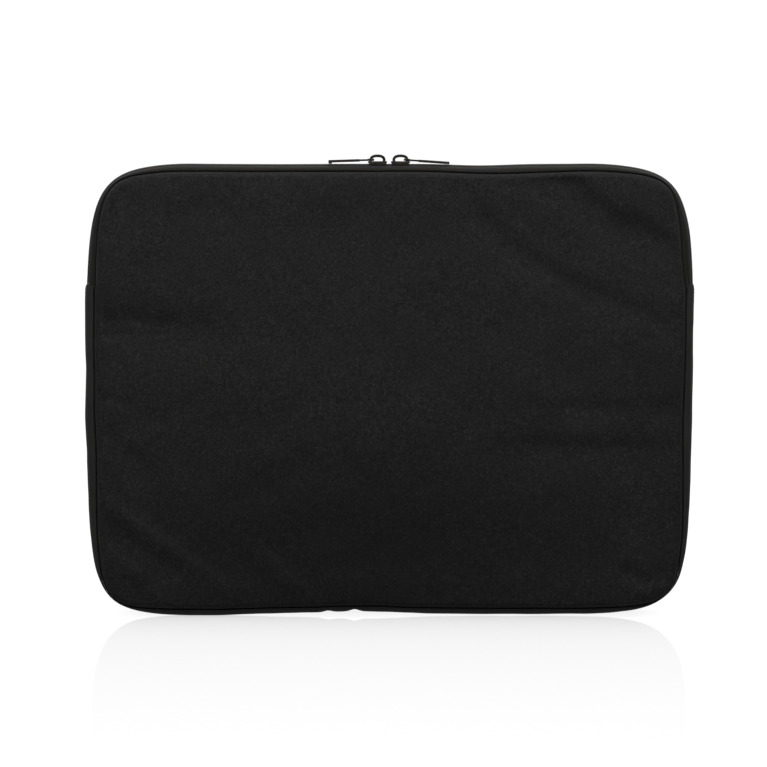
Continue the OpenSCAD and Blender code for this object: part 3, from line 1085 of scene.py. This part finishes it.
def woven_cover(name, base):
    """Near-black plain weave of heathered yarns, with painted shade: darker low in the middle, and a little
    darker towards the top.
    """
    s = Shader(name, base, 0.92, sheen=0.05, shine=0.1)
    place = s.place()
    axes = s.separate(place)
    weave = s.product(s.wave(axes["X"], WEAVE_PITCH), s.wave(axes["Z"], WEAVE_PITCH))
    over = s.math("ADD", s.product(weave, 2.5), 0.5, clamp=True)
    across = s.noise(s.scaled(place, (420, 700, 1250)), 1.0, 2.0, 0.6)
    along = s.noise(s.scaled(place, (1250, 700, 420)), 1.0, 2.0, 0.6)
    yarn = s.mix("MIX", over, across, along)
    stops = ((0.3, base * 0.45), (0.45, base * 0.8), (0.56, base * 1.25), (0.72, base * 2.6))
    heather = s.ramp(yarn, *stops, warm=0.02)
    grain = s.ramp(s.noise(place, 1150, 2.0, 0.6), (0.3, 0.78), (0.5, 0.98), (0.7, 1.26))
    patch = s.ramp(s.noise(place, 40, 3.0), (0.3, 0.94), (0.7, 1.06))
    # Painted shade: the colour darkens towards a point low in the middle of the panel, and a little far
    # from it, towards the top
    from_centre = s.add("VectorMath", operation="SUBTRACT")
    s.feed(from_centre.inputs[0], place)
    from_centre.inputs[1].default_value = SHADE_CENTRE
    reach = s.add("VectorMath", operation="LENGTH")
    s.feed(reach.inputs[0], s.scaled(from_centre.outputs[0], SHADE_REACH))
    painted_shade = s.ramp(reach.outputs["Value"], (0.0, 0.6), (0.22, 0.74), (0.5, 1.0), (1.0, 0.93))
    color = s.tinted(s.tinted(heather, s.tinted(patch, grain)), painted_shade)
    fibre = s.noise(place, 3000, 2.0)
    height = s.math("ADD", s.product(weave, 0.5), s.math("ADD", yarn, fibre))
    return s.finish(color, s.ramp(yarn, (0.2, 0.95), (0.8, 0.84)), height, 0.35, 0.00016)


def knit_band(name, base):
    """Smoother near-black fabric of the edge band, with a faint rib."""
    s = Shader(name, base, 0.85, sheen=0.06, shine=0.12)
    place = s.place()
    fine = s.noise(place, 2600, 2.0, 0.6)
    cloth = s.separate(s.place("UV"))
    loops = s.product(s.wave(cloth["Y"], 0.55), s.wave(cloth["X"], 0.7))
    slow = s.noise(place, 60, 3.0)
    tone = s.ramp(fine, (0.3, base * 0.7), (0.7, base * 1.35), warm=0.03)
    color = s.tinted(tone, s.ramp(slow, (0.3, 0.88), (0.7, 1.12)))
    height = s.math("ADD", s.product(loops, 0.3), fine)
    return s.finish(color, s.ramp(fine, (0.3, 0.9), (0.7, 0.75)), height, 0.5, 0.00016)


def herringbone_tape(name, base):
    """Zip tape: narrow herringbone along the tape."""
    s = Shader(name, base, 0.8, sheen=0.03, shine=0.12)
    cloth = s.separate(s.place("UV"))
    zigzag = s.math("PINGPONG", cloth["Y"], 1.1)
    ribs = s.wave(s.math("ADD", cloth["X"], s.product(zigzag, 0.9)), 0.62)
    fine = s.noise(s.place(), 2300, 2.0)
    height = s.math("ADD", s.product(ribs, 0.5), fine)
    tone = s.ramp(ribs, (0.0, base * 0.6), (1.0, base * 1.5), warm=0.06)
    color = s.tinted(tone, s.ramp(fine, (0.3, 0.7), (0.7, 1.3)))
    return s.finish(color, None, height, 0.6, 0.0002)


def nylon(name, base):
    """Smooth wire of the zip coil."""
    s = Shader(name, base, 0.5, shine=0.2)
    place = s.place()
    tone = s.ramp(s.noise(place, 900, 2.0), (0.3, base * 0.75), (0.7, base * 1.3), warm=0.07)
    rough = s.ramp(s.noise(place, 1500, 2.0), (0.3, 0.36), (0.7, 0.52))
    return s.finish(tone, rough, s.noise(place, 3000, 1.0), 0.2, 0.00005)


def thread(name, base):
    """Twisted sewing thread."""
    s = Shader(name, base, 0.75, shine=0.12)
    ply = s.noise(s.scaled(s.place(), (1.0, 0.6, 0.8)), 3600, 1.0)
    tone = s.ramp(ply, (0.35, base * 0.5), (0.65, base * 1.6))
    return s.finish(tone, None, ply, 0.6, 0.0001)


def grosgrain(name, base):
    """Seam binding with cross ribs."""
    s = Shader(name, base, 0.7, sheen=0.2)
    ribs = s.wave(s.separate(s.place("UV"))["X"], 0.8)
    fine = s.noise(s.place(), 2200, 2.0)
    height = s.math("ADD", s.product(ribs, 0.6), fine)
    tone = s.ramp(ribs, (0.0, base * 0.6), (1.0, base * 1.4))
    return s.finish(tone, s.ramp(fine, (0.3, 0.6), (0.7, 0.8)), height, 0.6, 0.0002)


def plush(name, base):
    """Short-pile lining, brushed in soft patches."""
    s = Shader(name, base, 0.95, sheen=0.6, shine=0.2)
    place = s.place()
    pile = s.noise(place, 1700, 3.0, 0.7)
    brushed = s.noise(s.scaled(place, (1.0, 1.0, 2.4)), 22, 3.0)
    tone = s.ramp(pile, (0.3, base * 0.6), (0.7, base * 1.4))
    return s.finish(s.tinted(tone, s.ramp(brushed, (0.35, 0.8), (0.65, 1.25))), None, pile, 0.7, 0.0004)


def cell_foam(name, base):
    """Closed-cell foam."""
    s = Shader(name, base, 0.9)
    cells = s.cells(s.place(), 1400)
    return s.finish(s.ramp(cells, (0.0, base * 0.5), (0.5, base * 1.3)), None, cells, 0.7, 0.0004)


def black_nickel(name, base):
    """Dark plated metal with fine handling marks and edges rubbed a little brighter."""
    roughness = 0.45
    s = Shader(name, base, roughness, shine=0.2, warm=0.12)
    s.set("Metallic", 0.5)
    s.set("Specular Tint", (0.3, 0.3, 0.3, 1))
    place = s.place()
    edges = s.ramp(s.add("NewGeometry").outputs["Pointiness"], (0.5, 0.0), (0.56, 1.0))
    cloud = s.noise(place, 420, 4.0)
    rubbed = s.tinted(edges, s.ramp(cloud, (0.4, 0.15), (0.65, 1.0)))
    plating = s.ramp(cloud, (0.3, base * 0.85), (0.7, base * 1.15), warm=0.12)
    color = s.mix("MIX", rubbed, plating, grey(base * 1.9, 0.14))
    scratches = s.noise(s.scaled(place, (140, 900, 900)), 1.0, 3.0, 0.7)
    rough = s.ramp(scratches, (0.35, roughness * 0.8), (0.7, roughness * 1.35))
    return s.finish(color, rough, scratches, 0.12, 0.00003)


def floor_paper():
    """Plain pale floor. Its sheen fades away from the sleeve, and a painted contact shadow dims its glow
    where the sleeve stands.
    """
    s = Shader("floor_paper", 0.8, 0.6)
    axes = s.separate(s.place())
    sheen_reach, contact_reach, edge_reach = 0.85, 0.035, 0.03
    middle_depth, half_length = 0.015, 0.185
    away = s.math("ABSOLUTE", axes["Y"])
    fading = s.math("POWER", math.e, s.product(away, -1 / sheen_reach))
    nearest = s.math("POWER", fading, 17.0)
    share = s.math("ADD", s.product(fading, 0.205), s.product(nearest, 0.07))
    # Painted contact shadow: the glow is dimmed along the sleeve's foot, most a little behind it
    behind = s.math("ABSOLUTE", s.math("SUBTRACT", axes["Y"], middle_depth))
    close = s.math("POWER", math.e, s.product(behind, -1 / contact_reach))
    inside = s.math("SUBTRACT", half_length, s.math("ABSOLUTE", axes["X"]))
    under = s.math("MULTIPLY", inside, 1 / edge_reach, clamp=True)
    painted_shadow = s.math("SUBTRACT", 1.0, s.product(s.product(close, under), 0.24))
    seen = s.add("LightPath").outputs["Is Camera Ray"]
    level = s.math("ADD", s.product(seen, FLOOR_SEEN - FLOOR_GLOW), FLOOR_GLOW)
    glow = s.shader("Emission", (1.0, 1.0, 1.0), s.product(level, painted_shadow))
    paper = s.shader("BsdfDiffuse", (0.06, 0.06, 0.06))
    gloss = s.shader("BsdfGlossy", (1.0, 1.0, 1.0), 0.04)
    s.ends_in("Material Output", s.shader("MixShader", share, s.shader("AddShader", glow, paper), gloss))
    return s.material


MATERIALS = {
    slot: make(slot, level)
    for slot, make, level in (
        ("cover_fabric", woven_cover, 0.0105),
        ("gusset_fabric", knit_band, 0.0145),
        ("foam", cell_foam, 0.045),
        ("lining", plush, 0.02),
        ("zip_tape", herringbone_tape, 0.0095),
        ("zip_coil", nylon, 0.035),
        ("thread", thread, 0.02),
        ("binding", grosgrain, 0.014),
        ("slider_metal", black_nickel, 0.019),
        ("puller_metal", black_nickel, 0.018),
    )
}


# ---------------------------------------------------------------- putting the sleeve together

def dress(piece, slot, *nodes):
    """Gives a piece the material of its slot, and hides the CAD nodes it stands for."""
    piece.data.materials.clear()
    piece.data.materials.append(MATERIALS[slot])
    if nodes:
        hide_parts(*nodes)
    return piece


def bend(piece):
    """Bakes the piece's placement into its mesh."""
    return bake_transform(piece)


def follow(pieces, side):
    """Pieces behind ride on the sleeve, and pieces in front have their placement baked into their mesh."""
    for piece in pieces:
        if side > 0:
            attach(piece, "sleeve")
        else:
            bend(piece)


def nodes_of(layer, side):
    """The CAD nodes of a panel's layer. The front ones are cut in two at the flex line."""
    return (layer,) if side > 0 else (layer + "_lower", layer + "_upper")


def build_panels():
    for word, side, creases, seed in (("front", -1, FRONT_CREASES, 11), ("back", 1, BACK_CREASES, 23)):
        cover, foam, lining = make_panel(word, side, creases, seed)
        dress(cover, "cover_fabric", *nodes_of(word + "_cover", side))
        dress(foam, "foam", *nodes_of(word + "_foam", side))
        dress(lining, "lining", *nodes_of(word + "_lining", side))
        follow((cover, foam, lining), side)


def build_band():
    cover = dress(band_layer("band_cover", 0.0, 0.17, wobble=0.16), "gusset_fabric", "gusset_cover")
    foam = dress(band_layer("band_foam", 0.175, 0.66), "foam", "gusset_foam")
    lining = dress(band_layer("band_lining", 0.665, 0.75), "lining", "gusset_lining")
    for piece in (cover, foam, lining):
        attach(piece, "sleeve")
    for word, side in (("left", -1), ("right", 1)):
        row = dress(make_end_stitches("band_end_stitches_" + word, side), "thread", "topstitch_" + word)
        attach(row, "sleeve")


def build_zip():
    for word, side in (("back", 1), ("front", -1)):
        tape = dress(make_tape("tape_" + word, side), "zip_tape", "zip_tape_" + word)
        coil = dress(make_coil("coil_" + word, side), "zip_coil", "zip_coil_" + word)
        row = dress(make_coil_stitches("coil_stitches_" + word, side), "thread", "coil_thread_" + word)
        follow((tape, coil, row), side)


def build_bindings():
    for word, side in (("back", 1), ("front", -1)):
        binding = make_binding("binding_" + word, side)
        row = make_binding_stitches("binding_stitches_" + word, side)
        dress(binding, "binding", *nodes_of("seam_binding_" + word, side))
        dress(row, "thread", *nodes_of("binding_thread_" + word, side))
        follow((binding, row), side)


def build_sliders():
    for part, make in (("body", slider_body), ("crown", slider_crown)):
        right = sharpen(dress(make(f"slider_{part}_right"), "slider_metal", f"slider_right_{part}"))
        left = dress(mirrored(right, f"slider_{part}_left"), "slider_metal", f"slider_left_{part}")
        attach(right, "slider_right")
        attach(left, "slider_left")
    right = sharpen(dress(puller("pull_tab_right", 3.9, 0.1), "puller_metal", "puller_right"))
    pattern = puller("pattern", 1.8, 1.0)
    left = sharpen(dress(mirrored(pattern, "pull_tab_left"), "puller_metal", "puller_left"))
    bpy.data.objects.remove(pattern)
    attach(right, "tab_right")
    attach(left, "tab_left")


# ---------------------------------------------------------------- stage, light and camera

def aimed(name, data, place, aim):
    """A light or camera at a place, turned towards its aim."""
    piece = add_object(name, data)
    piece.location = place
    piece.rotation_euler = (Vector(aim) - Vector(place)).to_track_quat("-Z", "Y").to_euler()
    return piece


def area_light(name, place, aim, size, power):
    light = bpy.data.lights.new(name, "AREA")
    light.shape = "RECTANGLE"
    light.size, light.size_y = size
    light.energy = power
    aimed(name, light, place, aim)


def build_floor():
    """A wide floor just under the sleeve, so that the two don't share a plane."""
    half, drop = 12.0, 0.0003
    corners = [(-half, -half, 0), (half, -half, 0), (half, half, 0), (-half, half, 0)]
    mesh = bpy.data.meshes.new("floor")
    mesh.from_pydata(corners, [], [(0, 1, 2, 3)])
    mesh.materials.append(floor_paper())
    floor = add_object("floor", mesh)
    floor.location.z = -drop


def build_world():
    """White where the camera sees it. The light it gives is bright low behind, and dim elsewhere."""
    world = bpy.data.worlds.new("studio")
    bpy.context.scene.world = world
    world.use_nodes = True
    w = Nodes(world.node_tree)
    backdrop = w.ramp(w.separate(w.place("Generated"))["Y"], (0.35, 0.1), (0.75, 0.95))
    seen = w.add("LightPath").outputs["Is Camera Ray"]
    soft = w.shader("Background", backdrop)
    white = w.shader("Background", (1.0, 1.0, 1.0), 1.05)
    w.ends_in("World Output", w.shader("MixShader", seen, soft, white))


def build_stage():
    build_floor()
    build_world()
    area_light("overhead", (0, -0.34, 0.8), (0, 0, 0.12), (1.2, 0.45), 10.5)
    area_light("front_left", (-1.2, -1.6, 0.8), (0, 0, 0.15), (0.9, 0.9), 1)
    area_light("behind", (0.2, 1.1, 0.9), (0, 0, 0.12), (1.6, 0.8), 5)
    bpy.context.scene.view_settings.view_transform = "Standard"


def build_camera():
    """About two metres away, looking a little down at the sleeve's middle."""
    lens, sensor, view_width = 150.0, 36.0, 0.4914
    away = view_width * lens / sensor
    aim = Vector((-0.0035, 0, 0.1491))
    rise = math.radians(3.9)
    camera = bpy.data.cameras.new("camera")
    camera.lens = lens
    camera.sensor_width = sensor
    camera.clip_end = 50
    place = aim + Vector((0, -math.cos(rise), math.sin(rise))) * away
    bpy.context.scene.camera = aimed("camera", camera, place, aim)


build_camera()
build_panels()
build_band()
build_zip()
build_bindings()
build_sliders()
build_stage()
